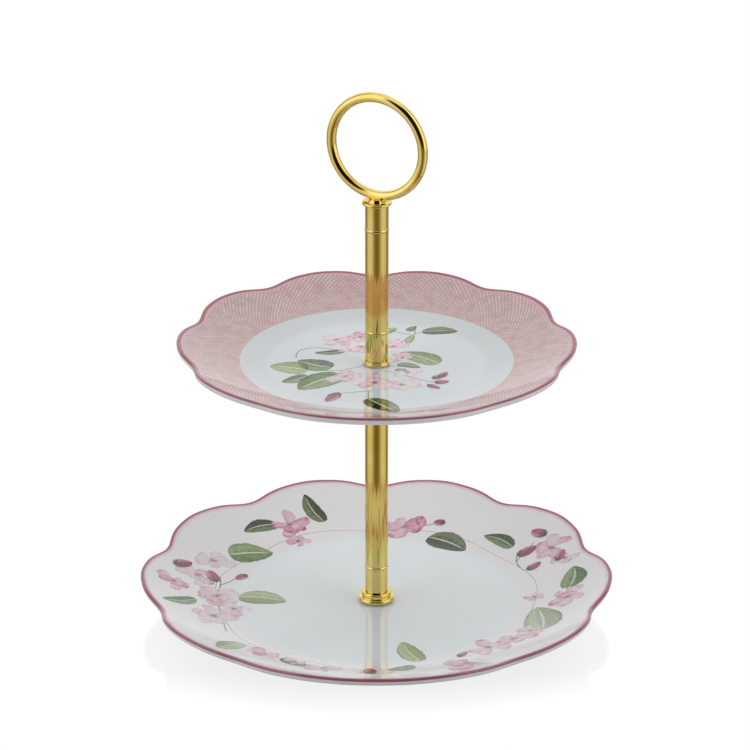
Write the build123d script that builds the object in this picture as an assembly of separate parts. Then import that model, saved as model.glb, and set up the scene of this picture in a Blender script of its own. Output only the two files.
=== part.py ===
from build123d import *
import math
import os

# Two-tier porcelain cake stand on a gilt tube rod, in millimetres.
# The rod's axis is Z, and the stand rests on the plane z = 0.

# Plates: outer radius over the lobes, and the heights of each plate's surfaces
lobe_count = 10
lobe_turn = 18.0  # from +Y round to the first lobe's middle, degrees
wall = 4.0
plate_hole_radius = 5.0
lower_radius = 131.0
lower_well_radius = 79.0
lower_well_height = 7.2
lower_rim_rise = 17.2
lower_foot_depth = 3.2
lower_notches = (0.0224, -0.0047, 0.0016)
upper_radius = 108.5
upper_well_radius = 59.0
upper_well_height = 149.4
upper_rim_rise = 14.25
upper_foot_depth = 3.0
upper_notches = (0.0214, -0.0044, 0.0010)
foot_ring_width = 3.6
lip_rounding = 1.3
start_slope = 0.13  # of the rim where it leaves the well

# Rod: tube, threads and the heights of the joints along it
tube_radius = 6.3
tube_wall = 1.0
spigot_radius = tube_radius - tube_wall - 0.05
spigot_length = 7.5
thread_radius = 3.0
thread_depth = 0.55
thread_pitch = 1.0
tapped_radius = thread_radius + 0.05
tapped_depth = 12.0
clearance_hole_radius = 3.4
seat_depth = 0.5
seat_radius = tube_radius + 0.3
bead_height = 1.8
bead_radius = 6.65
lower_ferrule_bottom = 12.7
lower_bead_middle = 28.4
upper_ferrule_bottom = 151.7
upper_bead_middle = 168.8
top_bead_middle = 227.6
top_ferrule_top = 241.8

# Fittings
foot_flange_radius = 10.0
foot_flange_ring_radius = 8.3
foot_flange_top = lower_ferrule_bottom + seat_depth
upper_flange_radius = 7.5
upper_flange_ring_radius = 7.0
upper_flange_top = upper_ferrule_bottom + seat_depth
cushion_height = 0.6
base_cushion_height = 0.8
washer_height = 0.6
washer_radius = 11.0
base_cushion_radius = 12.0
screw_head_radius = 5.5
screw_head_height = 1.4
screw_length = 20.0
plate_seat_height = 5.4
plate_seat_radius = 9.0
stud_length = 30.0
stud_engagement = 8.5
collar_radius = 8.0
collar_height = 1.5

# Ring handle: a wire ring turned about the rod's axis
ring_outer_radius = 30.0
ring_wire_radius = 2.65
ring_bottom = 244.0
ring_turn = -27.5
neck_radius = 5.3
neck_waist_radius = 4.4
neck_height = 3.4
handle_thread_length = 9.6

lower_underside = lower_well_height - wall
upper_underside = upper_well_height - wall
plate_seat_top = upper_underside - cushion_height
plate_seat_bottom = plate_seat_top - plate_seat_height
lower_tube_top = plate_seat_bottom + seat_depth
lower_tube_bottom = lower_bead_middle + bead_height / 2
upper_tube_bottom = upper_bead_middle + bead_height / 2
upper_tube_top = top_bead_middle - bead_height / 2
ring_radius = ring_outer_radius - ring_wire_radius
ring_middle = ring_bottom + ring_outer_radius
collar_top = top_ferrule_top + collar_height

os.makedirs("parts", exist_ok=True)


def write(name, solid):
    solid.label = name
    export_step(solid, f"parts/{name}.step")


def turned(outline):
    # A closed outline of (radius, height) points, turned about Z
    wire = Polyline(*[(r, 0, z) for r, z in outline], close=True)
    return revolve(make_face(wire), Axis.Z)


def ring(inner, outer, bottom, height, rounding=0.0):
    solid = turned([
        (inner, bottom),
        (outer, bottom),
        (outer, bottom + height),
        (inner, bottom + height),
    ])
    if rounding:
        rims = solid.edges().filter_by(GeomType.CIRCLE)
        solid = fillet([edge for edge in rims if edge.radius > inner + 0.01], rounding)
    return solid


def bar(radius, bottom, top):
    return Pos(0, 0, bottom) * Cylinder(
        radius, top - bottom, align=(Align.CENTER, Align.CENTER, Align.MIN)
    )


def thread(bottom, top):
    # A ring-grooved bar stands for the screw thread
    core = thread_radius - thread_depth
    outline = [(0, bottom), (core, bottom)]
    for turn in range(int((top - bottom) / thread_pitch)):
        foot = bottom + turn * thread_pitch
        outline.append((thread_radius, foot + 0.4 * thread_pitch))
        outline.append((thread_radius, foot + 0.6 * thread_pitch))
        outline.append((core, foot + thread_pitch))
    if top > outline[-1][1] + 0.01:
        outline.append((core, top))
    outline.append((0, top))
    return turned(outline)


def rim_height(r, radius, well_radius, well_height, rise):
    # The rim curves up evenly from start_slope to its end slope
    width = radius - well_radius
    end_slope = 2 * rise / width - start_slope
    out = r - well_radius
    return well_height + start_slope * out + (end_slope - start_slope) * out * out / (2 * width)


def rim_arc(radius, well_radius, well_height, rise, end, drop):
    points = []
    for part in (0.0, 0.5, 1.0):
        r = well_radius + part * (end - well_radius)
        height = rim_height(r, radius, well_radius, well_height, rise)
        points.append((r, 0, height - drop))
    return ThreePointArc(*points)


def lobed_outline(radius, notches):
    # Even lobes: the first waves about the circle give the notches between them
    points = []
    steps = 8 * lobe_count
    for step in range(steps):
        turn = 2 * math.pi * step / steps
        wave = sum(
            depth * (math.cos(lobe_count * (index + 1) * turn) - 1)
            for index, depth in enumerate(notches)
        )
        r = radius * (1 + wave)
        heading = turn + math.radians(lobe_turn)
        points.append((r * math.sin(heading), r * math.cos(heading)))
    return make_face(Spline(*points, periodic=True))


def plate(radius, well_radius, well_height, rise, foot_depth, notches):
    underside = well_height - wall
    end = radius + 3.0
    rim_drop = wall + 0.4
    foot_outer = well_radius - 0.5
    foot_inner = foot_outer - foot_ring_width
    top_arc = rim_arc(radius, well_radius, well_height, rise, end, 0.0)
    low_arc = rim_arc(radius, well_radius, well_height, rise, end, rim_drop)
    rim = top_arc + Line(top_arc @ 1, low_arc @ 1) + low_arc
    well = Polyline(
        low_arc @ 0,
        (foot_outer, 0, underside - foot_depth + 0.8),
        (foot_outer - 0.8, 0, underside - foot_depth),
        (foot_inner + 0.8, 0, underside - foot_depth),
        (foot_inner, 0, underside - foot_depth + 0.8),
        (foot_inner - 0.4, 0, underside),
        (plate_hole_radius, 0, underside),
        (plate_hole_radius, 0, well_height),
        top_arc @ 0,
    )
    dish = revolve(make_face(rim + well), Axis.Z)
    blank = extrude(lobed_outline(radius, notches), amount=well_height + 2 * rise + 10)
    solid = dish & blank
    lip = solid.edges().filter_by(lambda edge: edge.center().Z > well_height)
    lip = lip.filter_by(lambda edge: edge.bounding_box().size.X > radius)
    return fillet(lip, lip_rounding)


def tapped(solid, mouth, depth, upwards):
    if upwards:
        return solid - bar(tapped_radius, mouth, mouth + depth)
    return solid - bar(tapped_radius, mouth - depth, mouth)


def tube(bottom, top):
    return bar(tube_radius, bottom, top) - bar(tube_radius - tube_wall, bottom, top)


def bead(middle):
    # A thin rounded ring between a ferrule and its tube
    return ring(spigot_radius + 0.05, bead_radius, middle - bead_height / 2, bead_height, 0.7)


def ferrule(bottom, top, spigot_up):
    body = bar(tube_radius, bottom, top)
    if spigot_up:
        return body + bar(spigot_radius, top, top + bead_height + spigot_length)
    return body + bar(spigot_radius, bottom - bead_height - spigot_length, bottom)


# Lower tier: the plate and what holds it from below
write("lower_plate", plate(
    lower_radius, lower_well_radius, lower_well_height, lower_rim_rise,
    lower_foot_depth, lower_notches,
))
base_cushion_bottom = lower_underside - base_cushion_height
washer_bottom = base_cushion_bottom - washer_height
head_bottom = washer_bottom - screw_head_height
write("base_cushion", ring(
    thread_radius + 0.3, base_cushion_radius, base_cushion_bottom, base_cushion_height
))
write("base_washer", ring(thread_radius + 0.3, washer_radius, washer_bottom, washer_height, 0.2))
head = ring(0, screw_head_radius, head_bottom, screw_head_height)
head = fillet(head.edges().group_by(Axis.Z)[0].filter_by(GeomType.CIRCLE), 0.8)
slot = Pos(0, 0, head_bottom) * Box(
    2 * screw_head_radius, 1.2, 0.7, align=(Align.CENTER, Align.CENTER, Align.MIN)
)
write("base_screw", head - slot + thread(washer_bottom, washer_bottom + screw_length))
write("lower_cushion", ring(
    clearance_hole_radius, foot_flange_radius - 1.2, lower_well_height, cushion_height
))

# Loose flange that the lower rod stands in
flange_bottom = lower_well_height + cushion_height
flange_step = flange_bottom + 2.6
base_part = ring(clearance_hole_radius, foot_flange_radius, flange_bottom, flange_step - flange_bottom, 1.1)
ring_bottom_edge = flange_step - 0.6
ring_part = ring(
    clearance_hole_radius, foot_flange_ring_radius, ring_bottom_edge, foot_flange_top - ring_bottom_edge, 0.85
)
rod_seat = bar(seat_radius, lower_ferrule_bottom, foot_flange_top + 1)
write("lower_foot_flange", base_part + ring_part - rod_seat)

# Lower rod
lower_ferrule = ferrule(lower_ferrule_bottom, lower_bead_middle - bead_height / 2, True)
write("lower_ferrule", tapped(lower_ferrule, lower_ferrule_bottom, tapped_depth, True))
write("lower_bead", bead(lower_bead_middle))
write("lower_tube", tube(lower_tube_bottom, lower_tube_top))
write("lower_tube_insert", tapped(
    bar(spigot_radius, lower_tube_top - tapped_depth - 3, lower_tube_top), lower_tube_top, tapped_depth, False
))
seat_blank = turned([
    (clearance_hole_radius, lower_tube_top),
    (seat_radius, lower_tube_top),
    (seat_radius, plate_seat_bottom),
    (tube_radius + 1.4, plate_seat_bottom),
    (plate_seat_radius, plate_seat_top - 2.0),
    (plate_seat_radius, plate_seat_top),
    (clearance_hole_radius, plate_seat_top),
])
write("plate_seat", seat_blank)
write("seat_cushion", ring(clearance_hole_radius, plate_seat_radius - 0.6, plate_seat_top, cushion_height))
stud_top = upper_ferrule_bottom + stud_engagement
write("joining_stud", thread(stud_top - stud_length, stud_top))

# Upper tier and the loose flange above it
write("upper_plate", plate(
    upper_radius, upper_well_radius, upper_well_height, upper_rim_rise,
    upper_foot_depth, upper_notches,
))
write("upper_cushion", ring(
    clearance_hole_radius, upper_flange_radius - 0.5, upper_well_height, cushion_height
))
skirt_bottom = upper_well_height + cushion_height
skirt = ring(clearance_hole_radius, upper_flange_radius, skirt_bottom, 1.3, 0.3)
crest_bottom = skirt_bottom + 0.8
crest = ring(
    clearance_hole_radius, upper_flange_ring_radius, crest_bottom, upper_flange_top - crest_bottom, 0.2
)
write("upper_foot_flange", skirt + crest - bar(seat_radius, upper_ferrule_bottom, upper_flange_top + 1))

# Upper rod
upper_ferrule = ferrule(upper_ferrule_bottom, upper_bead_middle - bead_height / 2, True)
write("upper_ferrule", tapped(upper_ferrule, upper_ferrule_bottom, tapped_depth, True))
write("upper_bead", bead(upper_bead_middle))
write("upper_tube", tube(upper_tube_bottom, upper_tube_top))
write("top_bead", bead(top_bead_middle))
top_ferrule = ferrule(top_bead_middle + bead_height / 2, top_ferrule_top, False)
write("top_ferrule", tapped(top_ferrule, top_ferrule_top, tapped_depth, False))

# Handle: collar washer, turned neck with its thread, and the brazed wire ring
write("handle_collar", ring(clearance_hole_radius, collar_radius, top_ferrule_top, collar_height, 0.6))
ring_place = Pos(0, 0, ring_middle) * Rot(0, 0, ring_turn) * Rot(90, 0, 0)
write("handle_ring", ring_place * Torus(ring_radius, ring_wire_radius))
neck = turned([
    (0, collar_top),
    (neck_radius, collar_top),
    (neck_waist_radius, collar_top + 0.4 * neck_height),
    (neck_radius, collar_top + neck_height),
    (0, collar_top + neck_height),
])
saddle = ring_place * Torus(ring_radius, ring_wire_radius + 0.03)
ring_space = ring_place * Cylinder(ring_radius, 2 * neck_radius + 2)
neck = neck - saddle - ring_space
write("handle_neck", neck + thread(top_ferrule_top - handle_thread_length + collar_height, collar_top))
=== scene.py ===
import math
import random

import bpy
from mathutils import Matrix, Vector


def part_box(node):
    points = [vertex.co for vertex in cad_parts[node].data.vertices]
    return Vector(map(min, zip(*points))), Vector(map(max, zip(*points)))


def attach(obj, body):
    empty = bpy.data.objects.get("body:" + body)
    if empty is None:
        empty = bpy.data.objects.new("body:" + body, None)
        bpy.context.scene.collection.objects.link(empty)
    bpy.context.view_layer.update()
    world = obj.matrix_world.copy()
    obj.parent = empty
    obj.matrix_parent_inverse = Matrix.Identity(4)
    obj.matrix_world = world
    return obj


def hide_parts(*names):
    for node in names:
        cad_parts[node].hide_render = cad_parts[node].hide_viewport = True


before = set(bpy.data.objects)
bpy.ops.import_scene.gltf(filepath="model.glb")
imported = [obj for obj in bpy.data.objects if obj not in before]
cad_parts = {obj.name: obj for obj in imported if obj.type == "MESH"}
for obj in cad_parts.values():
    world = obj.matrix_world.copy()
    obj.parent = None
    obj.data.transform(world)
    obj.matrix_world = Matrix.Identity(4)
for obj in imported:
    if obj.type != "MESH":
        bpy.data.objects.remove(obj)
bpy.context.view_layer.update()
millimetre = 0.001


def shade(colour):
    # a display colour of 0 to 255 as the linear colour that a socket takes
    linear = []
    for part in colour:
        level = part / 255
        linear.append(level / 12.92 if level <= 0.04045 else ((level + 0.055) / 1.055) ** 2.4)
    return (*linear, 1.0)


# helpers for nodes: sums on sockets, and a bench that adds nodes to a tree

class Wire:
    # an output socket that can be used in sums
    def __init__(self, bench, socket):
        self.bench = bench
        self.socket = socket

    def maths(self, operation, *values):
        inputs = dict(enumerate((self, *values)))
        return self.bench.add("ShaderNodeMath", {"operation": operation}, inputs)

    def __add__(self, other):
        return self.maths("ADD", other)

    def __radd__(self, other):
        return self.maths("ADD", other)

    def __sub__(self, other):
        return self.maths("SUBTRACT", other)

    def __rsub__(self, other):
        return self.bench.number(other).maths("SUBTRACT", self)

    def __mul__(self, other):
        return self.maths("MULTIPLY", other)

    def __rmul__(self, other):
        return self.maths("MULTIPLY", other)

    def __truediv__(self, other):
        return self.maths("DIVIDE", other)

    def __pow__(self, other):
        return self.maths("POWER", other)

    def __neg__(self):
        return self.maths("MULTIPLY", -1.0)

    def out(self, name):
        return Wire(self.bench, self.socket.node.outputs[name])


class Bench:
    # a node tree being built
    def __init__(self, tree):
        self.tree = tree

    def plug(self, target, value):
        if isinstance(value, Wire):
            self.tree.links.new(value.socket, target)
        else:
            target.default_value = value

    def add(self, kind, settings=None, values=None, out=0):
        node = self.tree.nodes.new(kind)
        for name, value in (settings or {}).items():
            setattr(node, name, value)
        for key, value in (values or {}).items():
            self.plug(node.inputs[key], value)
        return Wire(self, node.outputs[out] if node.outputs else None)

    def ramp(self, value, stops):
        # a colour ramp with a display colour at each stop
        wire = self.add("ShaderNodeValToRGB", None, {"Fac": value})
        elements = wire.socket.node.color_ramp.elements
        elements.remove(elements[-1])
        for index, (place, colour) in enumerate(stops):
            element = elements[0] if index == 0 else elements.new(place)
            element.position = place
            element.color = shade(colour)
        return wire

    def number(self, value):
        return self.add("ShaderNodeMath", {"operation": "ADD"}, {0: value, 1: 0.0})

    def step(self, value, low, high):
        # 0 below low, 1 above high, and smooth between
        settings = {"interpolation_type": "SMOOTHSTEP"}
        return self.add("ShaderNodeMapRange", settings, {"Value": value, "From Min": low, "From Max": high})

    def cross(self, value, middle, half):
        # a soft step of a given half width about its middle
        return self.step(value, middle - half, middle + half)

    def mix(self, factor, first, second):
        return self.add("ShaderNodeMix", {"data_type": "RGBA"}, {0: factor, 6: first, 7: second}, out=2)

    def between(self, factor, first, second):
        return self.add("ShaderNodeMix", {"data_type": "FLOAT"}, {0: factor, 2: first, 3: second})

    def noise(self, where, scale, detail=2.0, roughness=0.5):
        values = {"Vector": where, "Scale": scale, "Detail": detail, "Roughness": roughness}
        return self.add("ShaderNodeTexNoise", None, values)

    def point(self, x, y, z):
        return self.add("ShaderNodeCombineXYZ", None, {"X": x, "Y": y, "Z": z})

    def parts(self, point):
        split = self.add("ShaderNodeSeparateXYZ", None, {0: point})
        return split.out("X"), split.out("Y"), split.out("Z")

    def position(self):
        return self.parts(self.add("GeometryNodeInputPosition"))

    def named(self, name, kind="FLOAT"):
        return self.add("GeometryNodeInputNamedAttribute", {"data_type": kind}, {"Name": name})

    def store(self, geometry, name, value):
        settings = {"data_type": "FLOAT", "domain": "POINT"}
        values = {"Geometry": geometry, "Name": name, "Value": value}
        return self.add("GeometryNodeStoreNamedAttribute", settings, values)

    def move(self, geometry, place):
        return self.add("GeometryNodeSetPosition", None, {"Geometry": geometry, "Position": place})


def newMaterial(name):
    material = bpy.data.materials.new(name)
    material.use_nodes = True
    material.node_tree.nodes.clear()
    return material, Bench(material.node_tree)


def finishMaterial(bench, sockets, bump, strength, distance):
    normal = bench.add("ShaderNodeBump", None, {"Height": bump, "Strength": strength, "Distance": distance})
    surface = bench.add("ShaderNodeBsdfPrincipled", None, {**sockets, "Normal": normal})
    bench.add("ShaderNodeOutputMaterial", None, {"Surface": surface})


def fromAxis(x, y):
    return (x * x + y * y) ** 0.5


# dishes: sizes in metres, with each one's radius and underside from its plate's box

# ease, turn, start and end values say how far from the hole, well, lip or foot a smooth run begins or stops
dishLook = {
    "lobes": 10, "lobeTurn": math.radians(18), "turns": 360, "wall": 0.004, "holeRadius": 0.005,
    "startSlope": 0.13, "wellEase": 0.004, "lipTop": 0.0022, "lipLow": 0.0026, "footWidth": 0.0036,
    "footInset": 0.0005, "footShoulder": (0.0006, 0.0002), "footLean": 0.0008,
    "footRounding": 0.0008, "holeRounding": 0.0005, "holeEase": 0.0012,
    "wellTurn": 0.0108, "rimEnd": 0.003, "lowStart": 0.004, "lowEnd": 0.003, "wellSteps": 6,
    "rimSteps": 26, "lowSteps": 20, "lobeStart": 0.004, "lobeEnd": 0.005, "weld": 0.000004,
}


def dishSizes(node, wellRadius, wellHeight, rise, footDepth, notches):
    low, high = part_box(node)
    radius = high[0]
    endSlope = 2 * rise / (radius - wellRadius) - dishLook["startSlope"]
    return {
        "node": node, "radius": radius, "bottom": low[2], "wellRadius": wellRadius,
        "wellHeight": wellHeight, "footDepth": footDepth, "endSlope": endSlope, "notches": notches,
    }


lowerDish = dishSizes(
    "lower_plate", wellRadius=0.079, wellHeight=0.0072, rise=0.0172, footDepth=0.0032,
    notches=(0.0224, -0.0047, 0.0016),
)
upperDish = dishSizes(
    "upper_plate", wellRadius=0.059, wellHeight=0.1494, rise=0.01425, footDepth=0.0030,
    notches=(0.0214, -0.0044, 0.0010),
)


def dishHeight(dish, r):
    # the top face's height at a radius
    ease = dishLook["wellEase"]
    beyond = r - dish["wellRadius"]
    root = (beyond * beyond + ease * ease) ** 0.5
    out = (beyond + root) * 0.5
    curve = (dish["endSlope"] - dishLook["startSlope"]) / (2 * (dish["radius"] - dish["wellRadius"]))
    return out * dishLook["startSlope"] + out * out * curve + dish["wellHeight"]


def evenly(first, last, steps):
    return [first + (last - first) * step / steps for step in range(steps + 1)]


def roundedCorners(corners, steps=5):
    # a closed outline of (radius, height, rounding) corners with its corners rounded
    points = []
    count = len(corners)
    for index, (x, y, rounding) in enumerate(corners):
        here = Vector((x, y))
        if rounding == 0:
            points.append(here)
            continue
        before = Vector(corners[index - 1][:2]) - here
        after = Vector(corners[(index + 1) % count][:2]) - here
        reach = min(rounding, before.length * 0.49, after.length * 0.49)
        start = here + before.normalized() * reach
        end = here + after.normalized() * reach
        for step in range(steps + 1):
            t = step / steps
            points.append(start * (1 - t) ** 2 + here * 2 * t * (1 - t) + end * t * t)
    return points


def dishOutline(dish):
    radius, well, wall = dish["radius"], dish["wellRadius"], dishLook["wall"]
    hole, holeRounding = dishLook["holeRadius"], dishLook["holeRounding"]
    footRounding, shoulder = dishLook["footRounding"], dishLook["footShoulder"]
    under = dish["wellHeight"] - wall
    footOuter = well - dishLook["footInset"]
    footInner = footOuter - dishLook["footWidth"]
    footBottom = under - dish["footDepth"]
    rimTop = dishHeight(dish, radius)
    wellTurn = well - dishLook["wellTurn"]
    top = evenly(hole + dishLook["holeEase"], wellTurn, dishLook["wellSteps"])
    top += evenly(wellTurn, radius - dishLook["rimEnd"], dishLook["rimSteps"])[1:]
    low = evenly(radius - dishLook["lowStart"], well + dishLook["lowEnd"], dishLook["lowSteps"])
    corners = [(hole, dish["wellHeight"], holeRounding)]
    corners += [(r, dishHeight(dish, r), 0) for r in top]
    corners += [(radius, rimTop, dishLook["lipTop"]), (radius, rimTop - wall, dishLook["lipLow"])]
    corners += [(r, dishHeight(dish, r) - wall, 0) for r in low]
    corners += [
        (footOuter + shoulder[0], under - shoulder[1], 2 * footRounding),
        (footOuter, footBottom, footRounding),
        (footInner, footBottom, footRounding),
        (footInner - dishLook["footLean"], under, 1.5 * footRounding),
        (0.5 * footInner, under, 0),
        (hole, under, holeRounding),
    ]
    points = roundedCorners(corners)
    # how far each point lies along the outline from the lip's crest, inwards over the top face
    crest = max(range(len(points)), key=lambda index: points[index].y)
    lengths = [0.0]
    for index in range(1, len(points)):
        lengths.append(lengths[-1] + (points[index] - points[index - 1]).length)
    return points, [lengths[crest] - length for length in lengths]


def newPiece(name, data):
    piece = bpy.data.objects.new(name, data)
    bpy.context.collection.objects.link(piece)
    return piece


def pointValues(mesh, name, values):
    attribute = mesh.attributes.new(name, "FLOAT", "POINT")
    for item, value in zip(attribute.data, values):
        item.value = value


def outlineMesh(name, points, fromLip):
    mesh = bpy.data.meshes.new(name)
    loop = points + [points[0]]
    mesh.from_pydata([(p.x, 0, p.y) for p in loop], [(i, i + 1) for i in range(len(loop) - 1)], [])
    pointValues(mesh, "fromLip", fromLip + [fromLip[0]])
    return newPiece(name, mesh)


# trees that make the pieces

def newTree(name, inputs):
    tree = bpy.data.node_groups.new(name, "GeometryNodeTree")
    tree.interface.new_socket("Geometry", in_out="INPUT", socket_type="NodeSocketGeometry")
    for label, kind in inputs.items():
        tree.interface.new_socket(label, in_out="INPUT", socket_type="NodeSocket" + kind)
    tree.interface.new_socket("Geometry", in_out="OUTPUT", socket_type="NodeSocketGeometry")
    bench = Bench(tree)
    start = bench.add("NodeGroupInput")
    return tree, bench, start


def finishTree(bench, geometry, material):
    realized = bench.add("GeometryNodeRealizeInstances", None, {"Geometry": geometry})
    smooth = bench.add("GeometryNodeSetShadeSmooth", None, {"Geometry": realized})
    painted = bench.add("GeometryNodeSetMaterial", None, {"Geometry": smooth, "Material": material})
    bench.add("NodeGroupOutput", None, {"Geometry": painted})


def runTree(source, tree, values):
    # the tree's result as a plain mesh in an object of its own, with the source gone
    modifier = source.modifiers.new("build", "NODES")
    modifier.node_group = tree
    for item in tree.interface.items_tree:
        if item.in_out == "INPUT" and item.name in values:
            modifier[item.identifier] = values[item.name]
    bpy.context.view_layer.update()
    graph = bpy.context.evaluated_depsgraph_get()
    mesh = bpy.data.meshes.new_from_object(source.evaluated_get(graph))
    name = source.name
    source.modifiers.remove(modifier)
    bpy.data.objects.remove(source)
    mesh.name = name
    return newPiece(name, mesh)


heightNames = ("Radius", "Well Radius", "Well Height", "Start Slope", "End Slope", "Well Ease")
lobeNames = ("Lobes", "Lobe Turn", "Lobe Start", "Lobe End", "Notch 1", "Notch 2", "Notch 3")
heightInputs = {name: "Float" for name in heightNames}
lobeInputs = {"Turns": "Int", **{name: "Float" for name in lobeNames}}


def heightValues(dish):
    return {
        "Radius": dish["radius"], "Well Radius": dish["wellRadius"], "Well Height": dish["wellHeight"],
        "Start Slope": dishLook["startSlope"], "End Slope": dish["endSlope"],
        "Well Ease": dishLook["wellEase"],
    }


def lobeValues(dish):
    notches = {f"Notch {order}": depth for order, depth in enumerate(dish["notches"], 1)}
    return {
        "Turns": dishLook["turns"], "Lobes": float(dishLook["lobes"]), "Lobe Turn": dishLook["lobeTurn"],
        "Lobe Start": dish["wellRadius"] + dishLook["lobeStart"],
        "Lobe End": dish["radius"] - dishLook["lobeEnd"], **notches,
    }


def heightSocket(start, r):
    # dishHeight again, on the tree's own inputs
    beyond = r - start.out("Well Radius")
    ease = start.out("Well Ease")
    out = (beyond + (beyond * beyond + ease * ease) ** 0.5) * 0.5
    slopes = start.out("End Slope") - start.out("Start Slope")
    curve = slopes / ((start.out("Radius") - start.out("Well Radius")) * 2.0)
    return out * start.out("Start Slope") + out * out * curve + start.out("Well Height")


def lobedDishTree():
    # an outline swept round the axis, pulled in and out to make the lobes
    tree, bench, start = newTree("lobedDish", {
        **heightInputs, **lobeInputs, "Weld": "Float", "Material": "Material",
    })
    size = bench.add("GeometryNodeAttributeDomainSize", {"component": "MESH"}, {"Geometry": start})
    grid = bench.add("GeometryNodeMeshGrid", None, {
        "Size X": 1.0, "Size Y": 1.0, "Vertices X": size, "Vertices Y": start.out("Turns") + 1.0,
    })
    acrossGrid, upGrid = bench.position()[:2]
    column = ((acrossGrid + 0.5) * (size - 1.0)).maths("ROUND")
    heading = (upGrid + 0.5) * math.tau
    outline = bench.add("GeometryNodeSampleIndex", {"data_type": "FLOAT_VECTOR"}, {
        "Geometry": start, "Value": bench.add("GeometryNodeInputPosition"), "Index": column,
    })
    lip = bench.add("GeometryNodeSampleIndex", {"data_type": "FLOAT"}, {
        "Geometry": start, "Value": bench.named("fromLip"), "Index": column,
    })
    r, z = bench.parts(outline)[::2]
    turn = (heading - start.out("Lobe Turn")) * start.out("Lobes")
    wave = sum(
        start.out(f"Notch {order}") * ((turn * float(order)).maths("COSINE") - 1.0) for order in (1, 2, 3)
    )
    reach = bench.step(r, start.out("Lobe Start"), start.out("Lobe End"))
    moved = r + wave * start.out("Radius") * reach
    height = z + heightSocket(start, moved) - heightSocket(start, r)
    placed = bench.point(moved * heading.maths("SINE"), moved * heading.maths("COSINE"), height)
    shaped = bench.move(bench.store(grid, "fromLip", lip), placed)
    closed = bench.add("GeometryNodeMergeByDistance", None, {
        "Geometry": shaped, "Distance": start.out("Weld"),
    })
    finishTree(bench, closed, start.out("Material"))
    return tree


def makeDish(name, dish, tree, material):
    points, fromLip = dishOutline(dish)
    return runTree(outlineMesh(name, points, fromLip), tree, {
        **heightValues(dish), **lobeValues(dish), "Weld": dishLook["weld"], "Material": material,
    })


# camera

cameraLook = {
    "place": (-0.00169, -1.94606, 0.95280), "down": math.radians(22.602), "roll": math.radians(-0.056),
    "lens": 186.0, "sensor": 36.0,
}


def makeCamera():
    data = bpy.data.cameras.new("camera")
    data.lens = cameraLook["lens"]
    data.sensor_width = cameraLook["sensor"]
    camera = newPiece("camera", data)
    camera.location = cameraLook["place"]
    camera.rotation_euler = (math.pi / 2 - cameraLook["down"], cameraLook["roll"], 0)
    bpy.context.scene.camera = camera


makeCamera()
print("camera ready")


# printed flowers: flat blades and thin lines laid on a dish

printLook = {
    "lift": 0.00004, "layer": 0.000015, "weld": 0.000002, "seed": 11, "stemWidth": 0.0006,
    "vineWidth": 0.0005, "stemSpacing": 0.0015, "leafBreadth": 1.18,
}
# how many layers up each kind of mark lies; a blossom's petals take a layer each
layers = {"leaf": 1, "petal": 2, "stamen": 9, "bud": 10, "sepal": 11}


def layOnDish(bench, start, geometry, x, y, level):
    height = heightSocket(start, fromAxis(x, y)) + level + start.out("Lift")
    return bench.move(geometry, bench.point(x, y, height))


def laidBladesTree():
    # one blade a mark: grown along its heading, bent, and laid on the dish's top face
    tree, bench, start = newTree("laidBlades", {
        **heightInputs, "Base Power": "Float", "Tip Power": "Float", "Tip Notch": "Float",
        "Tooth": "Float", "Teeth": "Float", "Points Along": "Int", "Points Across": "Int",
        "Lift": "Float", "Weld": "Float", "Material": "Material",
    })
    grid = bench.add("GeometryNodeMeshGrid", None, {
        "Size X": 1.0, "Size Y": 1.0,
        "Vertices X": start.out("Points Along"), "Vertices Y": start.out("Points Across"),
    })
    acrossGrid, upGrid = bench.position()[:2]
    along = acrossGrid + 0.5
    across = upGrid * 2.0
    marked = bench.store(bench.store(grid, "along", along), "across", across)
    basePower, tipPower = start.out("Base Power"), start.out("Tip Power")
    both = basePower + tipPower
    widest = (both ** both) / ((basePower ** basePower) * (tipPower ** tipPower))
    width = (along ** basePower) * ((1.0 - along) ** tipPower) * widest * 0.5
    side = across.maths("ABSOLUTE")
    teeth = (along * start.out("Teeth")).maths("FRACT") * side * start.out("Tooth")
    notch = start.out("Tip Notch") * along * along * (1.0 - side)
    flat = bench.point(along * (1.0 - notch), across * width * (1.0 - teeth), 0.0)
    grown = bench.add("GeometryNodeInstanceOnPoints", None, {
        "Points": start, "Instance": bench.move(marked, flat),
        "Rotation": bench.point(0.0, 0.0, bench.named("heading")),
        "Scale": bench.named("sizes", "FLOAT_VECTOR"),
    })
    loose = bench.add("GeometryNodeRealizeInstances", None, {"Geometry": grown})
    x, y, level = bench.position()
    heading = bench.named("heading")
    sway = (bench.named("along") * math.pi).maths("SINE") * bench.named("bend")
    x = x - heading.maths("SINE") * sway
    y = y + heading.maths("COSINE") * sway
    laid = layOnDish(bench, start, loose, x, y, level)
    closed = bench.add("GeometryNodeMergeByDistance", None, {
        "Geometry": laid, "Distance": start.out("Weld"),
    })
    finishTree(bench, closed, start.out("Material"))
    return tree


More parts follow.
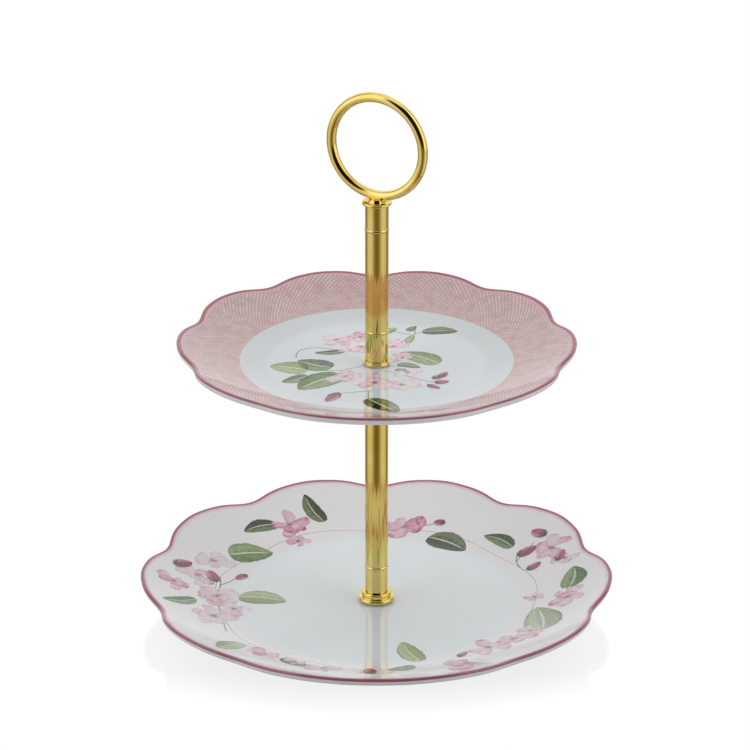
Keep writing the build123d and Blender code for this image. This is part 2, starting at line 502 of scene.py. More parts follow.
def laidStemsTree():
    # a thin painted line along each curve, laid on the dish's top face
    tree, bench, start = newTree("laidStems", {
        **heightInputs, "Line Width": "Float", "Spacing": "Float", "Lift": "Float",
        "Material": "Material",
    })
    even = bench.add("GeometryNodeResampleCurve", {"mode": "LENGTH"}, {
        "Curve": start, "Length": start.out("Spacing"),
    })
    marked = bench.store(even, "along", bench.add("GeometryNodeSplineParameter", out="Factor"))
    half = start.out("Line Width") * 0.5
    section = bench.add("GeometryNodeCurvePrimitiveLine", None, {
        "Start": bench.point(-half, 0.0, 0.0), "End": bench.point(half, 0.0, 0.0),
    })
    upright = bench.add("GeometryNodeSetCurveNormal", {"mode": "Z_UP"}, {"Curve": marked})
    ribbon = bench.add("GeometryNodeCurveToMesh", None, {"Curve": upright, "Profile Curve": section})
    x, y = bench.position()[:2]
    finishTree(bench, layOnDish(bench, start, ribbon, x, y, 0.0), start.out("Material"))
    return tree


def bladeShape(basePower, tipPower, notch=0.0, tooth=0.0, teeth=1.0, points=(23, 9)):
    return {
        "Base Power": basePower, "Tip Power": tipPower, "Tip Notch": notch, "Tooth": tooth,
        "Teeth": teeth, "Points Along": points[0], "Points Across": points[1],
    }


bladeShapes = {
    "leaf": bladeShape(basePower=0.46, tipPower=0.72, tooth=0.02, teeth=6.0),
    "petal": bladeShape(basePower=0.8, tipPower=0.42, notch=0.1),
    "bud": bladeShape(basePower=0.45, tipPower=0.6, points=(15, 7)),
    "stamen": bladeShape(basePower=0.2, tipPower=0.3, points=(7, 3)),
}


def marksMesh(name, marks):
    # a point for each blade, at its base, with what the blades tree asks for
    mesh = bpy.data.meshes.new(name)
    mesh.from_pydata([(mark["x"], mark["y"], mark["level"]) for mark in marks], [], [])
    for key in ("heading", "bend", "tone"):
        pointValues(mesh, key, [mark[key] for mark in marks])
    sizes = mesh.attributes.new("sizes", "FLOAT_VECTOR", "POINT")
    for item, mark in zip(sizes.data, marks):
        item.vector = (mark["length"], mark["width"], 1.0)
    return newPiece(name, mesh)


def blade(start, end, width, tone, bend, layer):
    # one mark from its base to its tip, given in millimetres
    dx, dy = end[0] - start[0], end[1] - start[1]
    return {
        "x": start[0] * millimetre, "y": start[1] * millimetre, "level": layer * printLook["layer"],
        "heading": math.atan2(dy, dx), "length": math.hypot(dx, dy) * millimetre,
        "width": width * millimetre, "bend": bend * millimetre, "tone": tone,
    }


# what is printed, in millimetres on the plan
# leaves: base, tip, width, tone (0 dark, 1 pale) and bend
lowerLeaves = [
    ((-30, 94), (-42, 114), 9.5, 0.10, 1.5), ((-57, 87), (-76, 75), 9, 0.12, -2.0),
    ((-84, 50), (-59, 59), 17, 0.42, 1.5), ((-77, 3), (-50, -3), 15, 0.70, 2.0),
    ((-100, -9), (-118, -23), 8, 0.35, 1.5), ((-73, -61), (-85, -82), 11, 0.72, -1.5),
    ((-51, -77), (-36, -90), 9, 0.38, -1.5), ((21, -85), (6, -91), 8, 0.30, 1.0),
    ((24, -77), (14, -53), 12, 0.66, 1.5), ((91, -48), (89, -14), 19, 0.76, -1.5),
    ((107, 1), (111, 24), 13, 0.30, -2.0), ((78, 60), (62, 76), 9, 0.20, -2.0),
    ((30, 80), (51, 63), 16, 0.05, 2.0), ((39, -79), (61, -96), 7, 0.50, -3.0),
]
upperLeaves = [
    ((-24, -6), (-43, 4), 15, 0.28, 1.0), ((-37, -10), (-58, -4), 15, 0.62, -1.5),
    ((-37, -17), (-51, -27), 9, 0.33, 1.0), ((-19, -15), (-42, -37), 17, 0.38, -1.5),
    ((-17, 18), (-34, 15), 6, 0.10, 1.0), ((25, 46), (45, 45), 9, 0.18, 1.5),
    ((17, 47), (22, 54), 4.5, 0.22, 0.0), ((5, 44), (11, 52), 5.5, 0.50, 0.5),
    ((34, 0), (13, 16), 14, 0.48, -1.5), ((11, -1), (24, -6), 6, 0.32, 1.0),
    ((10, -8), (20, -15), 5, 0.36, 0.5), ((-5, -49), (11, -74), 13, 0.08, 1.5),
    ((17, 29), (21, 41), 4, 0.60, 0.5),
]
# blossoms: middle, width across and tone (0 pale, 1 rose)
lowerBlossoms = [
    ((-50, 88), 25, 0.75), ((-92, 40), 27, 0.20), ((-89, 0), 35, 0.22), ((-113, 5), 21, 0.62),
    ((-90, -27), 29, 0.18), ((-61, -73), 23, 0.60), ((-28, -91), 23, 0.30), ((45, -92), 31, 0.62),
    ((61, -62), 27, 0.25), ((75, -54), 24, 0.38), ((106, -10), 25, 0.55), ((88, 0), 13, 0.30),
    ((99, 50), 27, 0.42), ((17, 91), 30, 0.68), ((-45, 74), 15, 0.6), ((-101, 20), 22, 0.3),
    ((-79, -13), 22, 0.2), ((106, 36), 17, 0.4), ((84, -46), 18, 0.3), ((-44, -83), 15, 0.35),
]
upperBlossoms = [
    ((-22, 34), 22, 0.55), ((-9, 24), 27, 0.25), ((-17, -19), 23, 0.45), ((-1, -27), 28, 0.35),
    ((9, 24), 25, 0.22), ((13, -30), 23, 0.32), ((-9, 38), 15, 0.6), ((17, -13), 17, 0.2),
    ((14, 8), 16, 0.3),
]
# buds: base, tip and width
lowerBuds = [
    ((-114, 24), (-104, 32), 8), ((-90, 17), (-94, 29), 8), ((-73, 31), (-79, 24), 6),
    ((97, 63), (89, 71), 7.5), ((80, 50), (91, 56), 8.5), ((85, 33), (93, 39), 6.5),
    ((40, 92), (33, 93), 6), ((102, 35), (106, 45), 6), ((44, -73), (49, -66), 5),
    ((-3, -100), (-4, -88), 8),
]
upperBuds = [
    ((30, -22), (37, -15), 5), ((31, -27), (39, -25), 6), ((27, -30), (34, -35), 5),
    ((34, -20), (38, -12), 5), ((-20, -41), (-27, -54), 7),
]
# stems: their routes
lowerStems = [
    [(-88, 24), (-86, 12), (-90, 2)], [(-76, 30), (-82, 20), (-88, 14)],
    [(-90, 0), (-86, -20), (-82, -46)], [(-106, 26), (-98, 20), (-91, 16)],
    [(80, 50), (78, 42), (84, 33)], [(90, 60), (84, 52), (79, 44)], [(33, 92), (26, 90), (20, 92)],
    [(47, -68), (52, -66), (60, -62)], [(38, -79), (50, -84), (62, -97)],
    [(-58, 86), (-53, 88), (-50, 88)], [(-74, -60), (-68, -66), (-60, -73)],
    [(107, 1), (104, -4), (106, -10)],
]
upperStems = [
    [(-7, -3), (-14, -8), (-22, -11), (-30, -10)],
    [(-44, 8), (-44, 18), (-36, 23), (-27, 22), (-18, 18)],
    [(8, 24), (14, 30), (19, 42), (26, 46)], [(-2, -38), (-12, -40), (-20, -42)],
    [(19, 42), (12, 44), (8, 48)], [(6, -4), (12, -3), (20, -6)],
    [(4, -10), (12, -14), (24, -24), (33, -27)], [(-4, -38), (-5, -46), (-4, -52)],
    [(6, 6), (18, 8), (30, 4)], [(-19, -15), (-26, -22), (-34, -30)], [(21, 42), (22, 48), (20, 52)],
]
vine = {"radius": 89.5, "sway": 2.2, "waves": 7, "points": 40}

# reaches and breadths are shares of a blossom's half width
blossomLook = {
    "petals": 5, "innerPetals": 2, "squash": (0.55, 0.95), "petalShift": 0.3, "outerReach": (0.8, 1.15),
    "innerReach": (0.45, 0.7), "narrowest": 0.55, "broader": 0.35, "broaderShare": (0.7, 1.0),
    "breadth": (0.7, 0.95), "toneShift": 0.3, "bend": 0.14, "baseTurn": 2, "baseReach": 0.05,
    "stamens": 9, "stamenShift": 0.3, "stamenReach": (0.16, 0.34), "stamenWidth": 0.34,
}
budLook = {
    "tone": (0.5, 1.0), "sepalTurns": (-0.55, 0.0, 0.55), "sepalReach": 0.5, "sepalWidth": 1.5,
    "sepalTone": 0.35,
}


def either(dice, reach):
    # a draw up to the reach on either side of nothing
    return dice.uniform(-reach, reach)


def blossomMarks(blossoms, dice):
    # petals round each middle, drawn as if the blossom leans away, and stamens over them
    look = blossomLook
    petals, stamens = [], []
    for (x, y), size, tone in blossoms:
        first, lean = dice.uniform(0, math.tau), dice.uniform(0, math.pi)
        squash = dice.uniform(*look["squash"])

        def around(angle, reach):
            u, v = reach * math.cos(angle), reach * math.sin(angle) * squash
            return (x + u * math.cos(lean) - v * math.sin(lean), y + u * math.sin(lean) + v * math.cos(lean))

        for count in range(look["petals"] + look["innerPetals"]):
            angle = first + math.tau * count / look["petals"] + either(dice, look["petalShift"])
            reaches = look["outerReach"] if count < look["petals"] else look["innerReach"]
            reach = 0.5 * size * dice.uniform(*reaches)
            broader = look["broader"] * abs(math.cos(angle)) * dice.uniform(*look["broaderShare"])
            width = (look["narrowest"] + broader) * 0.5 * size * dice.uniform(*look["breadth"])
            petalTone = min(1.0, max(0.0, tone + either(dice, look["toneShift"])))
            bend = either(dice, look["bend"]) * reach
            base = around(angle + look["baseTurn"], look["baseReach"] * size)
            petals.append(blade(base, around(angle, reach), width, petalTone, bend, layers["petal"] + count))
        for count in range(look["stamens"]):
            angle = first + math.tau * (count + either(dice, look["stamenShift"])) / look["stamens"]
            tip = around(angle, 0.5 * size * dice.uniform(*look["stamenReach"]))
            stamens.append(blade((x, y), tip, look["stamenWidth"], tone, 0.0, layers["stamen"]))
    return petals, stamens


def leafMarks(leaves):
    broad = printLook["leafBreadth"]
    return [
        blade(base, tip, width * broad, tone, bend, layers["leaf"]) for base, tip, width, tone, bend in leaves
    ]


def budMarks(buds, dice):
    marks, sepals = [], []
    for base, tip, width in buds:
        marks.append(blade(base, tip, width, dice.uniform(*budLook["tone"]), 0.0, layers["bud"]))
        dx, dy = tip[0] - base[0], tip[1] - base[1]
        reach = math.hypot(dx, dy) * budLook["sepalReach"]
        for turn in budLook["sepalTurns"]:
            heading = math.atan2(dy, dx) + turn
            end = (base[0] + reach * math.cos(heading), base[1] + reach * math.sin(heading))
            sepals.append(blade(
                base, end, budLook["sepalWidth"], budLook["sepalTone"], 0.0, layers["sepal"],
            ))
    return marks, sepals


def vineRoute():
    # a line that goes right round the dish and sways in and out
    route = []
    for index in range(vine["points"]):
        turn = math.tau * index / vine["points"]
        r = vine["radius"] + vine["sway"] * math.sin(vine["waves"] * turn)
        route.append((r * math.cos(turn), r * math.sin(turn)))
    return route


def stemCurves(name, routes, closed=False):
    # smooth lines along routes in millimetres
    data = bpy.data.curves.new(name, "CURVE")
    data.dimensions = "3D"
    for route in routes:
        spline = data.splines.new("NURBS")
        spline.points.add(len(route) - 1)
        for point, (x, y) in zip(spline.points, route):
            point.co = (x * millimetre, y * millimetre, 0, 1)
        spline.order_u = 3
        spline.use_endpoint_u = not closed
        spline.use_cyclic_u = closed
    return newPiece(name, data)


# paints and finishes

def objectPlace(bench):
    return bench.add("ShaderNodeTexCoord", out="Object")


def attributes(bench, *names):
    return [bench.add("ShaderNodeAttribute", {"attribute_name": name}, out="Fac") for name in names]


# the upper plate's well and rim colours are darker copies of the glaze: painted shade for the dimmer light on
# that plate
glazeLook = {
    "well": (238, 247, 249), "shadedUpperWell": (219, 227, 231), "wellCloud": (218, 224, 229),
    "rim": (243, 244, 246), "rimCloud": (230, 225, 227), "shadedUpperRim": (214, 220, 223),
    "under": (243, 241, 241), "underCloud": (234, 232, 234), "bareFoot": (205, 200, 192),
    "roughness": 0.07, "paintRoughness": 0.08, "unevenness": 0.03, "bareRoughness": 0.5, "coat": 0.25,
    "coatRoughness": 0.03, "ior": 1.5, "rippleScale": 14.0, "rippleStrength": 0.05,
    "rippleDistance": 0.0006, "fineScale": 240.0, "fineShare": 0.04,
}
# over: how far past the lip's crest the paint and the top's glaze go down the outside
lineLook = {
    "line": (164, 88, 108), "glow": (228, 176, 188), "width": 0.0015, "over": 0.0016, "glowWidth": 0.0028,
    "glowStrength": 0.75, "edge": (0.0004, -0.0002), "wobble": 0.0008, "wobbleScale": 60.0,
}
latticeLook = {
    "ground": (198, 163, 165), "groundPale": (212, 184, 184), "line": (186, 142, 150),
    "dot": (246, 234, 220), "cells": 220.0, "twist": 37.5, "start": 0.0744, "lineEdge": (0.34, 0.08),
    "lineStrength": 0.5, "dotEdge": (0.55, 0.9), "wearScale": 170.0, "dotWear": (0.3, 0.62),
}


def latticePaint(bench, place, x, y, r):
    # two families of spiral lines that cross, with a pale dot in each window
    look = latticeLook
    turn = bench.add("ShaderNodeMath", {"operation": "ARCTAN2"}, {0: y, 1: x})
    around = turn * (look["cells"] / math.tau)
    out = (r * (1 / look["start"])).maths("LOGARITHM", math.e) * look["twist"]
    first, second = (
        ((around + out * side) * math.pi).maths("SINE").maths("ABSOLUTE") for side in (1.0, -1.0)
    )
    lines = bench.step(first.maths("MINIMUM", second), *look["lineEdge"])
    dots = bench.step(first * second, *look["dotEdge"])
    worn = bench.noise(place, look["wearScale"], 3.0, 0.6)
    ground = bench.mix(worn * 0.6, shade(look["ground"]), shade(look["groundPale"]))
    net = bench.mix(lines * look["lineStrength"], ground, shade(look["line"]))
    return bench.mix(dots * bench.step(worn, *look["dotWear"]), net, shade(look["dot"]))


def roseLine(bench, place, fromLip, cloud, colour):
    # a painted line at the lip that melts into the glaze on its inner side
    look = lineLook
    reach = fromLip + (bench.noise(place, look["wobbleScale"]) - 0.5) * look["wobble"]
    glow = bench.step(reach, look["glowWidth"] + look["width"], look["width"])
    line = bench.step(reach, *(look["width"] + change for change in look["edge"]))
    colour = bench.mix(glow * look["glowStrength"], colour, shade(look["glow"]))
    return bench.mix(line * (0.85 + cloud * 0.2), colour, shade(look["line"]))


def finishGlaze(bench, sockets, bump):
    # what the dish and the paint under its glaze share
    finishMaterial(bench, {
        **sockets, "IOR": glazeLook["ior"], "Coat Roughness": glazeLook["coatRoughness"],
    }, bump, glazeLook["rippleStrength"], glazeLook["rippleDistance"])


def porcelain(name, dish, lattice):
    material, bench = newMaterial(name)
    place = objectPlace(bench)
    x, y, height = bench.parts(place)
    r = fromAxis(x, y)
    fromLip = attributes(bench, "fromLip")[0]
    cloud = bench.noise(place, glazeLook["rippleScale"], 3.0)
    fine = bench.noise(place, glazeLook["fineScale"])
    # the upper plate takes darker copies of the well and rim colours: painted shade
    well = shade(glazeLook["shadedUpperWell" if lattice else "well"])
    well = bench.mix(cloud * 0.5, well, shade(glazeLook["wellCloud"]))
    if lattice:
        rim = shade(glazeLook["shadedUpperRim"])
    else:
        rim = bench.mix(cloud * 0.7, shade(glazeLook["rim"]), shade(glazeLook["rimCloud"]))
    colour = bench.mix(bench.cross(r, dish["wellRadius"] + 0.001, 0.002), well, rim)
    if lattice:
        band = bench.cross(r + (fine - 0.5) * 0.0004, latticeLook["start"], 0.0003)
        colour = bench.mix(band, colour, latticePaint(bench, place, x, y, r))
    colour = roseLine(bench, place, fromLip, cloud, colour)
    under = bench.mix(cloud * 0.6, shade(glazeLook["under"]), shade(glazeLook["underCloud"]))
    colour = bench.mix(bench.cross(fromLip, -lineLook["over"], 0.0002), under, colour)
    # the foot ring stands on a narrow unglazed line
    ring = bench.cross(r, dish["wellRadius"] - 0.00325, 0.00025)
    bare = bench.step(height, dish["bottom"] + 0.0006, dish["bottom"] + 0.0002) * ring
    rough = glazeLook["roughness"] + cloud * glazeLook["unevenness"] + bare * glazeLook["bareRoughness"]
    finishGlaze(bench, {
        "Base Color": bench.mix(bare, colour, shade(glazeLook["bareFoot"])), "Roughness": rough,
        "Coat Weight": glazeLook["coat"] - bare * glazeLook["coat"],
    }, cloud + fine * glazeLook["fineShare"])
    return material


def finishPaint(bench, place, colour, alpha):
    rough = glazeLook["paintRoughness"] + bench.noise(place, 60.0) * glazeLook["unevenness"]
    finishGlaze(bench, {
        "Base Color": colour, "Roughness": rough, "Alpha": alpha, "Coat Weight": glazeLook["coat"],
    }, bench.noise(place, glazeLook["rippleScale"], 3.0))


# each ramp runs along a blade's tone
leafLook = {
    "base": [
        (0.0, (22, 44, 10)), (0.2, (44, 72, 22)), (0.42, (92, 128, 66)), (0.62, (150, 164, 84)),
        (0.78, (138, 160, 126)), (1.0, (176, 192, 170)),
    ],
    "light": [
        (0.0, (120, 140, 84)), (0.4, (166, 184, 134)), (0.7, (200, 210, 172)), (1.0, (222, 230, 216)),
    ],
    "rib": (228, 230, 206), "dark": (34, 54, 24), "wash": 260.0, "patch": 420.0, "veins": 7.0,
    "veinSlant": 1.6,
}
petalLook = {
    "pale": [
        (0.0, (250, 242, 246)), (0.4, (246, 227, 235)), (0.7, (238, 200, 215)), (1.0, (222, 156, 182)),
    ],
    "deep": [(0.0, (216, 172, 190)), (0.5, (202, 120, 148)), (1.0, (176, 66, 104))],
    "heart": (150, 122, 76), "wash": 320.0, "streak": 2.6, "streakShape": (1.2, 3.2, 9.0),
}
budPaintLook = {
    "base": [(0.0, (214, 160, 180)), (0.5, (176, 86, 118)), (1.0, (136, 44, 76))],
    "light": (222, 178, 194), "wash": 420.0,
}
thinPaintScales = {"wash": 110.0, "broken": 300.0}
thinPaintLook = {
    "stamen": {"first": (150, 96, 96), "second": (176, 140, 84), "strength": 0.8},
    "sepal": {"first": (84, 88, 52), "second": (122, 92, 74), "strength": 1.0},
    "stem": {"first": (120, 104, 80), "second": (126, 134, 84), "strength": 0.85},
    "vine": {"first": (190, 196, 176), "second": (206, 188, 184), "strength": 0.55},
}


def leafPaint(name):
    material, bench = newMaterial(name)
    place = objectPlace(bench)
    along, across, tone = attributes(bench, "along", "across", "tone")
    side = across.maths("ABSOLUTE")
    wash = bench.noise(place, leafLook["wash"], 3.0)
    patch = bench.noise(place, leafLook["patch"], 4.0, 0.65)
    base = bench.ramp(tone + (wash - 0.5) * 0.5, leafLook["base"])
    light = bench.ramp(tone + (patch - 0.5) * 0.3, leafLook["light"])
    lit = bench.step(across + (patch - 0.5) * 1.6, -0.1, 0.6) * 0.6
    colour = bench.mix(lit, base, light)
    vein = (along * leafLook["veins"] - side * leafLook["veinSlant"]).maths("FRACT")
    veins = bench.step((vein - 0.5).maths("ABSOLUTE"), 0.1, 0.02) * bench.step(side, 0.95, 0.4)
    colour = bench.mix(veins * 0.22, colour, light)
    rib = bench.step(side, 0.11, 0.02) * bench.step(along, 1.0, 0.75)
    colour = bench.mix(rib * 0.8, colour, shade(leafLook["rib"]))
    dark = bench.step(side, 0.62, 0.95) * bench.step(patch, 0.35, 0.6)
    colour = bench.mix(dark * 0.7, colour, shade(leafLook["dark"]))
    edge = bench.step(side + (patch - 0.5) * 0.35, 1.0, 0.86)
    alpha = edge * (0.9 + wash * 0.2).maths("MINIMUM", 1.0)
    finishPaint(bench, place, colour, alpha)
    return material


def petalPaint(name):
    material, bench = newMaterial(name)
    place = objectPlace(bench)
    along, across, tone = attributes(bench, "along", "across", "tone")
    side = across.maths("ABSOLUTE")
    wash = bench.noise(place, petalLook["wash"], 3.0)
    stretch = petalLook["streakShape"]
    grain = bench.point(along * stretch[0], across * stretch[1], tone * stretch[2])
    streak = bench.noise(grain, petalLook["streak"], 3.0, 0.6)
    pale = bench.ramp(tone + (wash - 0.5) * 0.5, petalLook["pale"])
    deep = bench.ramp(tone, petalLook["deep"])
    strokes = bench.step(streak, 0.5, 0.72) * bench.step(along, 0.05, 0.5)
    colour = bench.mix(strokes * (0.25 + tone * 0.6), pale, deep)
    rimmed = bench.step(side.maths("MAXIMUM", along), 0.74, 0.95) * bench.step(wash, 0.3, 0.62)
    colour = bench.mix(rimmed * (0.45 + tone * 0.5), colour, deep)
    shadow = bench.step(across + (streak - 0.5) * 1.4, -0.1, 0.9) * bench.step(along, 1.0, 0.5)
    colour = bench.mix(shadow * (0.15 + tone * 0.4), colour, deep)
    heart = bench.step(along, 0.3, 0.04)
    colour = bench.mix(heart * (0.35 + wash * 0.8), colour, shade(petalLook["heart"]))
    edge = bench.step(side + (wash - 0.5) * 0.3, 1.0, 0.86)
    alpha = edge * (0.66 + tone * 0.3 + strokes * 0.2).maths("MINIMUM", 1.0)
    finishPaint(bench, place, colour, alpha)
    return material


def budPaint(name):
    material, bench = newMaterial(name)
    place = objectPlace(bench)
    across, tone = attributes(bench, "across", "tone")
    wash = bench.noise(place, budPaintLook["wash"], 3.0)
    base = bench.ramp(tone + (wash - 0.5) * 0.6, budPaintLook["base"])
    light = bench.step(across + (wash - 0.5), 0.0, 0.8)
    colour = bench.mix(light * 0.55, base, shade(budPaintLook["light"]))
    edge = bench.step(across.maths("ABSOLUTE") + (wash - 0.5) * 0.3, 1.0, 0.85)
    finishPaint(bench, place, colour, edge)
    return material


def thinPaint(name, look):
    # a line in two colours that is broken here and there
    material, bench = newMaterial(name)
    place = objectPlace(bench)
    wash = bench.noise(place, thinPaintScales["wash"], 3.0)
    colour = bench.mix(bench.step(wash, 0.35, 0.65), shade(look["first"]), shade(look["second"]))
    broken = bench.noise(place, thinPaintScales["broken"])
    finishPaint(bench, place, colour, bench.step(broken, 0.2, 0.45) * look["strength"])
    return material


metalLook = {
    "gold": {"colour": (242, 220, 138), "dull": (228, 198, 100), "roughness": 0.055, "marks": 0.5},
    "goldTube": {"colour": (240, 218, 134), "dull": (226, 196, 98), "roughness": 0.07, "marks": 1.0},
    "steel": {"colour": (206, 206, 208), "dull": (176, 176, 180), "roughness": 0.24, "marks": 1.0},
    "brass": {"colour": (222, 192, 116), "dull": (190, 156, 84), "roughness": 0.3, "marks": 1.0},
}


# scales of the patches and marks; turned and drawn are across, up and overall
metalGrain = {
    "patches": 45.0, "turned": (8.0, 900.0, 4.0), "drawn": (900.0, 12.0, 1.6), "depth": 0.012,
    "distance": 0.0001,
}


def metalMarks(bench, place, scales, detail, roughness):
    across, up, overall = scales
    x, y, height = bench.parts(place)
    return bench.noise(bench.point(x * across, y * across, height * up), overall, detail, roughness)


def metal(name, look):
    # polished metal: patchy polish, faint turned marks and a few scuffs drawn up it
    material, bench = newMaterial(name)
    place = objectPlace(bench)
    patches = bench.noise(place, metalGrain["patches"], 3.0)
    turned = metalMarks(bench, place, metalGrain["turned"], 2.0, 0.5)
    scuffs = bench.step(metalMarks(bench, place, metalGrain["drawn"], 3.0, 0.7), 0.62, 0.74)
    colour = bench.mix(bench.step(patches, 0.3, 0.75), shade(look["colour"]), shade(look["dull"]))
    rough = look["roughness"] + patches * 0.03 + (turned * 0.02 + scuffs * 0.06) * look["marks"]
    sockets = {"Base Color": colour, "Roughness": rough, "Metallic": 1.0}
    depth = metalGrain["depth"] * look["marks"]
    finishMaterial(bench, sockets, turned + scuffs * 0.4, depth, metalGrain["distance"])
    return material


cushionLook = {
    "colour": (228, 226, 220), "mottle": (206, 203, 196), "roughness": 0.45, "unevenness": 0.2,
    "grain": 300.0, "depth": 0.2, "distance": 0.0001,
}


def softPlastic(name, look):
    material, bench = newMaterial(name)
    mottle = bench.noise(objectPlace(bench), look["grain"], 4.0, 0.6)
    colour = bench.mix(mottle, shade(look["colour"]), shade(look["mottle"]))
    sockets = {"Base Color": colour, "Roughness": look["roughness"] + mottle * look["unevenness"]}
    finishMaterial(bench, sockets, mottle, look["depth"], look["distance"])
    return material


nodeFinishes = {
    "goldTube": ("lower_tube", "upper_tube"),
    "gold": (
        "lower_foot_flange", "lower_ferrule", "lower_bead", "plate_seat", "upper_foot_flange",
        "upper_ferrule", "upper_bead", "top_bead", "top_ferrule", "handle_collar", "handle_ring",
        "handle_neck",
    ),
    "steel": ("base_screw", "base_washer", "joining_stud"),
    "brass": ("lower_tube_insert",),
}
softNodes = ("base_cushion", "lower_cushion", "seat_cushion", "upper_cushion")


def dress(node, material):
    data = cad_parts[node].data
    data.materials.clear()
    data.materials.append(material)


for finish, nodes in nodeFinishes.items():
    material = metal(finish, metalLook[finish])
    for node in nodes:
        dress(node, material)
cushionFinish = softPlastic("softWasher", cushionLook)
for node in softNodes:
    dress(node, cushionFinish)
print("metal and washers dressed")


# the two plates

plates = {
    "lower": {
        "dish": lowerDish, "body": "base", "slot": "lower_porcelain", "lattice": False,
        "leaves": lowerLeaves, "blossoms": lowerBlossoms, "buds": lowerBuds, "stems": lowerStems,
        "vine": True,
    },
    "upper": {
        "dish": upperDish, "body": "upper_tier", "slot": "upper_porcelain", "lattice": True,
        "leaves": upperLeaves, "blossoms": upperBlossoms, "buds": upperBuds, "stems": upperStems,
        "vine": False,
    },
}
dishTree = lobedDishTree()
for prefix, plate in plates.items():
    name = prefix + "Dish"
    glaze = porcelain(name + "Glaze", plate["dish"], plate["lattice"])
    piece = makeDish(name, plate["dish"], dishTree, glaze)
    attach(piece, plate["body"])
    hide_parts(plate["dish"]["node"])
print("plates made")


# the printed flowers

bladeTree = laidBladesTree()
stemTree = laidStemsTree()
paints = {"leaf": leafPaint("leafPaint"), "petal": petalPaint("petalPaint"), "bud": budPaint("budPaint")}
for name, look in thinPaintLook.items():
    paints[name] = thinPaint(name + "Paint", look)
dice = random.Random(printLook["seed"])


def printOn(plate, source, tree, values, paint):
    piece = runTree(source, tree, {
        **heightValues(plate["dish"]), **values, "Lift": printLook["lift"], "Material": paints[paint],
    })
    piece.visible_shadow = False
    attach(piece, plate["body"])


def printPlate(prefix, plate):
    petals, stamens = blossomMarks(plate["blossoms"], dice)
    buds, sepals = budMarks(plate["buds"], dice)
    jobs = (
        ("Leaves", leafMarks(plate["leaves"]), "leaf", "leaf"), ("Petals", petals, "petal", "petal"),
        ("Stamens", stamens, "stamen", "stamen"), ("Buds", buds, "bud", "bud"),
        ("Sepals", sepals, "bud", "sepal"),
    )
    for label, marks, shape, paint in jobs:
        values = {**bladeShapes[shape], "Weld": printLook["weld"]}
        printOn(plate, marksMesh(prefix + label, marks), bladeTree, values, paint)
    values = {"Line Width": printLook["stemWidth"], "Spacing": printLook["stemSpacing"]}
    printOn(plate, stemCurves(prefix + "Stems", plate["stems"]), stemTree, values, "stem")
    if plate["vine"]:
        values["Line Width"] = printLook["vineWidth"]
        printOn(plate, stemCurves(prefix + "Vine", [vineRoute()], closed=True), stemTree, values, "vine")


for prefix, plate in plates.items():
    printPlate(prefix, plate)
print("flowers printed")


# the floor and the studio round it

floorLook = {
    "radius": 0.18, "sides": 96, "drop": 0.00005, "glow": 0.72, "bounce": 0.22, "colour": (136, 136, 136),
    "gloss": 0.24, "glossEnd": (0.06, 0.155), "glossLost": 0.85, "roughness": 0.03, "fade": (0.150, 0.179),
}
# levels of light from each side, and the turns in degrees from the front between which they change
studio = {
    "back": 1.0, "sides": 1.3, "top": 0.95, "front": 0.012, "lowFront": 0.2, "lowSides": 0.74,
    "lowBack": 0.4, "lowSoft": 0.62, "warm": (1.0, 0.72, 0.26, 1.0), "warmLevel": (0.1, 0.7),
    "lowSidesTurn": (8, 62), "sidesTurn": (32, 54), "sidesEnd": (130, 84), "backTurn": (112, 140),
    "steep": (0.8, 0.96), "horizon": (-0.26, -0.08),
}
white = (1.0, 1.0, 1.0, 1.0)


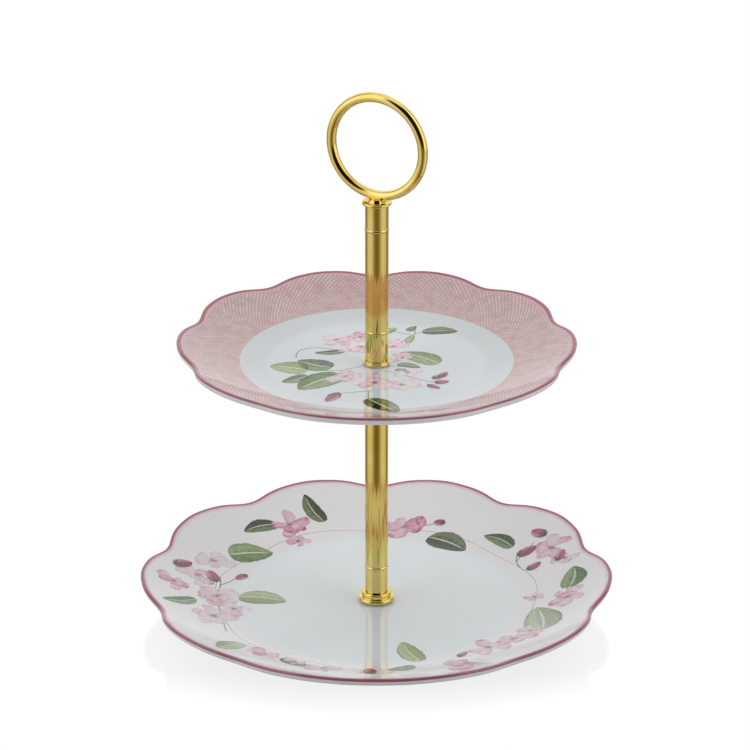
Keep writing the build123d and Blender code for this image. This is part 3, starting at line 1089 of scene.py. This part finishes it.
def makeFloor():
    # a disc seen from above only, with a reflection near the object, that fades out at its edge
    mesh = bpy.data.meshes.new("floor")
    turns = [math.tau * side / floorLook["sides"] for side in range(floorLook["sides"])]
    ring = [(floorLook["radius"] * math.cos(t), floorLook["radius"] * math.sin(t)) for t in turns]
    mesh.from_pydata([(x, y, -floorLook["drop"]) for x, y in ring], [], [range(len(ring))])
    floor = newPiece("floor", mesh)
    material, bench = newMaterial("paleFloor")
    place = objectPlace(bench)
    x, y = bench.parts(place)[:2]
    mottle = bench.noise(place, 30.0, 3.0)
    away = bench.step(-y, *floorLook["glossEnd"])
    diffuse = bench.add("ShaderNodeBsdfDiffuse", None, {"Color": shade(floorLook["colour"])})
    seen = bench.add("ShaderNodeLightPath", out="Is Camera Ray")
    lit = floorLook["bounce"] + seen * (floorLook["glow"] - floorLook["bounce"])
    lit = lit + away * seen * floorLook["gloss"] * floorLook["glossLost"]
    glow = bench.add("ShaderNodeEmission", None, {"Color": white, "Strength": lit})
    gloss = bench.add("ShaderNodeBsdfGlossy", None, {"Roughness": floorLook["roughness"] + mottle * 0.02})
    shine = floorLook["gloss"] * (1.0 - away)
    shiny = bench.add("ShaderNodeMixShader", None, {0: shine, 1: diffuse, 2: gloss})
    both = bench.add("ShaderNodeAddShader", None, {0: shiny, 1: glow})
    below = bench.add("ShaderNodeNewGeometry", out="Backfacing")
    clear = bench.add("ShaderNodeBsdfTransparent")
    gone = bench.step(fromAxis(x, y), *floorLook["fade"]).maths("MAXIMUM", below)
    oneSided = bench.add("ShaderNodeMixShader", None, {0: gone, 1: both, 2: clear})
    bench.add("ShaderNodeOutputMaterial", None, {"Surface": oneSided})
    mesh.materials.append(material)


def roundRoom(front, beside, sides, behind, back):
    # one level in front, another at the sides and another behind
    return front + beside * (sides - front) + behind * (back - front)


def makeStudio():
    # white to the camera; to everything else a lit room with a dark gap behind the camera
    world = bpy.data.worlds.new("studio")
    world.use_nodes = True
    bpy.context.scene.world = world
    world.node_tree.nodes.clear()
    bench = Bench(world.node_tree)
    x, y, z = bench.parts(bench.add("ShaderNodeTexCoord", out="Generated"))
    turn = bench.add("ShaderNodeMath", {"operation": "ARCTAN2"}, {0: x, 1: -y}).maths("ABSOLUTE")
    turn = turn * (180 / math.pi)
    sidesEnd = bench.step(turn, *studio["sidesEnd"])
    lowBeside = bench.step(turn, *studio["lowSidesTurn"]) * sidesEnd
    beside = bench.step(turn, *studio["sidesTurn"]) * sidesEnd
    behind = bench.step(turn, *studio["backTurn"])
    toCamera = bench.add("ShaderNodeLightPath", out="Is Camera Ray")
    soft = toCamera.out("Is Diffuse Ray")
    high = roundRoom(studio["front"], beside, studio["sides"], behind, studio["back"])
    high = bench.between(bench.step(z, *studio["steep"]), high, studio["top"])
    low = roundRoom(studio["lowFront"], lowBeside, studio["lowSides"], behind, studio["lowBack"])
    low = bench.between(soft, low, studio["lowSoft"])
    level = bench.between(bench.step(z, *studio["horizon"]), low, high)
    pale = bench.step(level, *studio["warmLevel"]).maths("MAXIMUM", soft)
    tint = bench.mix(pale, studio["warm"], white)
    room = bench.add("ShaderNodeBackground", None, {"Color": tint, "Strength": level})
    plain = bench.add("ShaderNodeBackground", None, {"Color": white, "Strength": 1.0})
    both = bench.add("ShaderNodeMixShader", None, {0: toCamera, 1: room, 2: plain})
    bench.add("ShaderNodeOutputWorld", None, {"Surface": both})


makeFloor()
makeStudio()
bpy.context.scene.view_settings.view_transform = "Standard"
print("studio ready")
